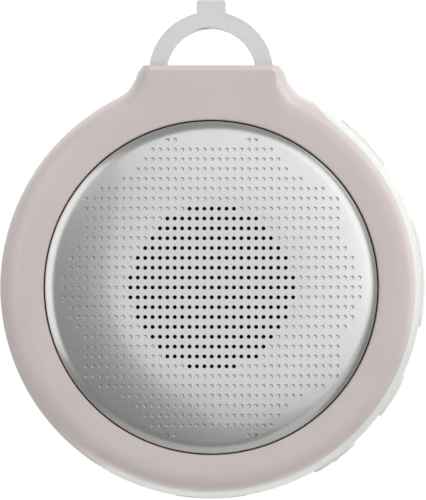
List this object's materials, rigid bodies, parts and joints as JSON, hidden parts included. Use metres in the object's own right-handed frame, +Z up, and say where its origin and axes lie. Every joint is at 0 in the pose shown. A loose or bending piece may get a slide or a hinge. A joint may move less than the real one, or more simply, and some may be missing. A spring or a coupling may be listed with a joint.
{
  "type": "shower speaker",
  "caption": "Round waterproof shower speaker with a domed perforated grille, a side strip of buttons, a fold-down hanging loop and a suction cup.",
  "frame": {"origin": "on the speaker's axis in the plane of the suction cup's rim, which lies on the wall", "axes": "+Z up towards the hanging loop, +Y into the wall, so the grille faces -Y; +X to the right seen from the front, where the buttons are"},
  "size_m": [0.0862, 0.0498, 0.1012],
  "materials": {
    "rose_shell": "soft-touch satin",
    "white_shell": "satin gloss",
    "white_rubber": "matt",
    "satin_silver": "satin, fine blasted",
    "frosted_clear": "frosted translucent",
    "steel": "brushed",
    "ferrite": "matt ceramic",
    "copper": "enamelled wire",
    "paper": "pressed paper",
    "black_rubber": "matt",
    "red_insulation": "satin",
    "black_cloth": "fine weave",
    "black_plastic": "moulded",
    "green_board": "solder mask",
    "bare_foil": "foil",
    "light_lens": "diffusing"
  },
  "bodies": {
    "housing": {"front_shell": "rose_shell", "rear_shell": "white_shell", "cup_collar": "white_shell", "control_strip": "white_rubber", "grille": "satin_silver", "suction_cup": "frosted_clear", "loop_pin": "steel", "cup_stud": "steel", "charging_socket": "steel", "driver_yoke": "steel", "driver_top_plate": "steel", "driver_basket": "steel", "driver_magnet": "ferrite", "driver_surround": "black_rubber", "driver_gasket": "black_rubber", "housing_gasket": "black_rubber", "battery_pad": "black_rubber", "driver_lead": "black_rubber", "port_lead": "black_rubber", "battery_lead": "red_insulation", "driver_spider": "black_cloth", "acoustic_cloth": "black_cloth", "baffle": "black_plastic", "amplifier_chip": "black_plastic", "main_board": "green_board", "port_board": "green_board", "button_board": "green_board", "radio_module": "bare_foil", "microphone": "bare_foil", "battery": "bare_foil", "status_light": "light_lens", "power_switch": "steel", "volume_up_switch": "steel", "volume_down_switch": "steel", "play_switch": "steel", "call_switch": "steel", "case_screw_1": "steel", "baffle_screw_1": "steel", "driver_screw_1": "steel", "case_screw_2": "steel", "baffle_screw_2": "steel", "driver_screw_2": "steel", "case_screw_3": "steel", "baffle_screw_3": "steel", "driver_screw_3": "steel", "case_screw_4": "steel", "baffle_screw_4": "steel", "driver_screw_4": "steel"},
    "power_key": {"power_button": "white_rubber"},
    "volume_key": {"volume_rocker": "white_rubber"},
    "play_key": {"play_button": "white_rubber"},
    "call_key": {"call_button": "white_rubber"},
    "port_flap": {"port_cover": "white_rubber"},
    "loop": {"hanging_loop": "frosted_clear"},
    "cone": {"driver_cone": "paper", "dust_cap": "paper", "voice_coil": "copper"}
  },
  "joints": [
    {"name": "power_press", "type": "slide", "parent": "housing", "child": "power_key", "axis": [-0.7254, 0, -0.6884], "range_m": [0, 0.0005], "stiffness_N_per_m": 300, "springref_m": -0.0005},
    {"name": "play_press", "type": "slide", "parent": "housing", "child": "play_key", "axis": [-0.8594, 0, 0.5113], "range_m": [0, 0.0005], "stiffness_N_per_m": 300, "springref_m": -0.0005},
    {"name": "call_press", "type": "slide", "parent": "housing", "child": "call_key", "axis": [-0.5878, 0, 0.809], "range_m": [0, 0.0005], "stiffness_N_per_m": 300, "springref_m": -0.0005},
    {"name": "volume_rock", "type": "hinge", "parent": "housing", "child": "volume_key", "pos_m": [0.0417, -0.0332, 0.00292], "axis": [0, 1, 0], "range_deg": [-2.5, 2.5], "stiffness_Nm_per_rad": 0.3},
    {"name": "port_open", "type": "hinge", "parent": "housing", "child": "port_flap", "pos_m": [-0.00745, -0.0334, -0.04225], "axis": [0, 1, 0], "range_deg": [0, 100]},
    {"name": "loop_fold", "type": "hinge", "parent": "housing", "child": "loop", "pos_m": [0, -0.038, 0.0433], "axis": [-1, 0, 0], "range_deg": [0, 80]},
    {"name": "cone_travel", "type": "slide", "parent": "housing", "child": "cone", "axis": [0, -1, 0], "range_m": [-0.0008, 0.0008], "stiffness_N_per_m": 1200}
  ]
}
